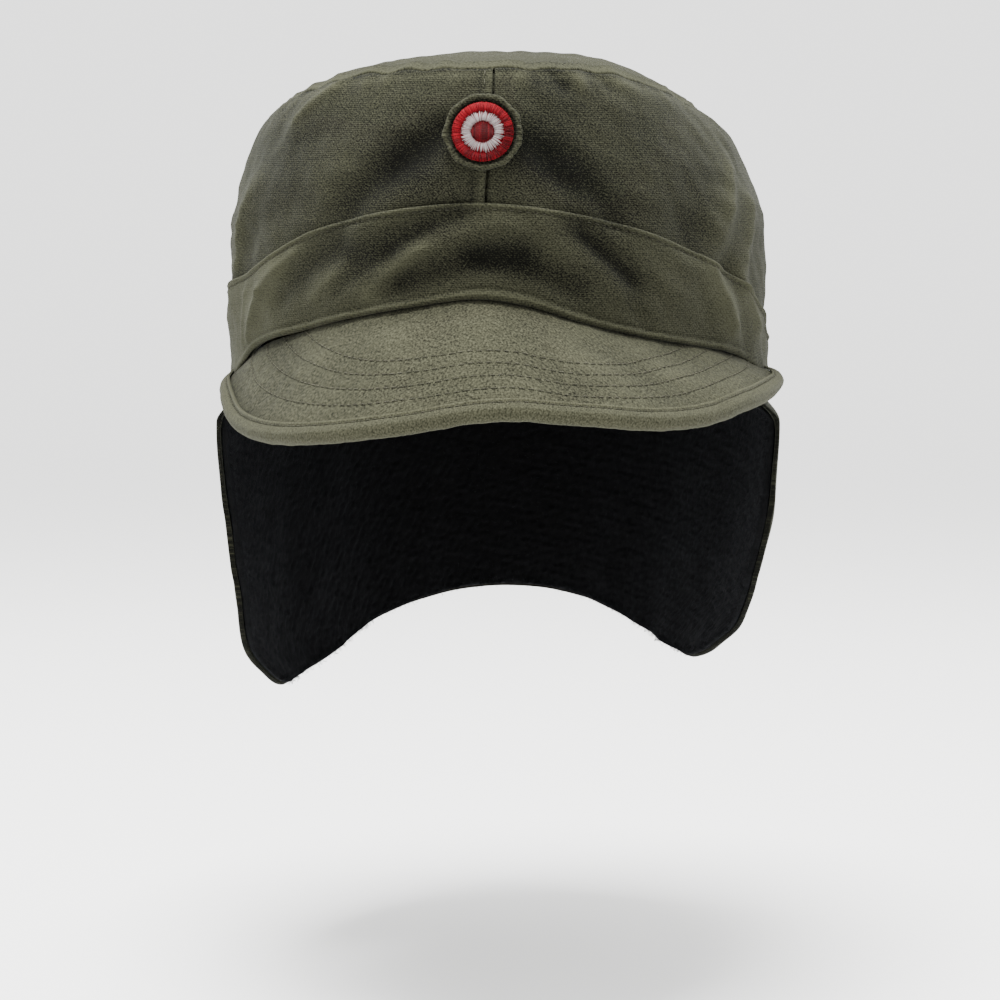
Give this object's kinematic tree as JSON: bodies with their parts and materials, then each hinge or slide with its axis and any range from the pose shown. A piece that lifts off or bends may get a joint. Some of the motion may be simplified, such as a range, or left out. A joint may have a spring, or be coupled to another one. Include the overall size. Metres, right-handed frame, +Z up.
{
  "type": "field cap",
  "caption": "Soft cloth field cap with a stiff bound peak, a folded front band, a round cockade and a fleece-lined ear and neck flap hanging from its rim.",
  "frame": {"origin": "middle of the opening that the head goes into, in the plane of the rim's lower edge at the sides and back", "axes": "+Z up, -Y the way the wearer looks, so the peak points along -Y; +X is the wearer's left hand side, the right of a front view"},
  "size_m": [0.1896, 0.2642, 0.2175],
  "materials": {
    "crown_cloth": "faded olive twill, matte",
    "peak_cloth": "lighter olive twill, matte, rows of stitching",
    "red_thread": "red embroidery thread, soft sheen",
    "white_thread": "white embroidery thread, soft sheen",
    "fleece": "black fleece, matte pile"
  },
  "bodies": {
    "root": {"crown_side_left": "crown_cloth", "crown_side_right": "crown_cloth", "crown_top": "crown_cloth", "front_band": "crown_cloth", "peak": "peak_cloth", "peak_binding": "peak_cloth", "cockade_backing": "crown_cloth", "cockade_red_ring": "red_thread", "cockade_white_ring": "white_thread", "cockade_centre": "red_thread", "flap_shell": "crown_cloth", "flap_lining": "fleece"}
  },
  "joints": []
}
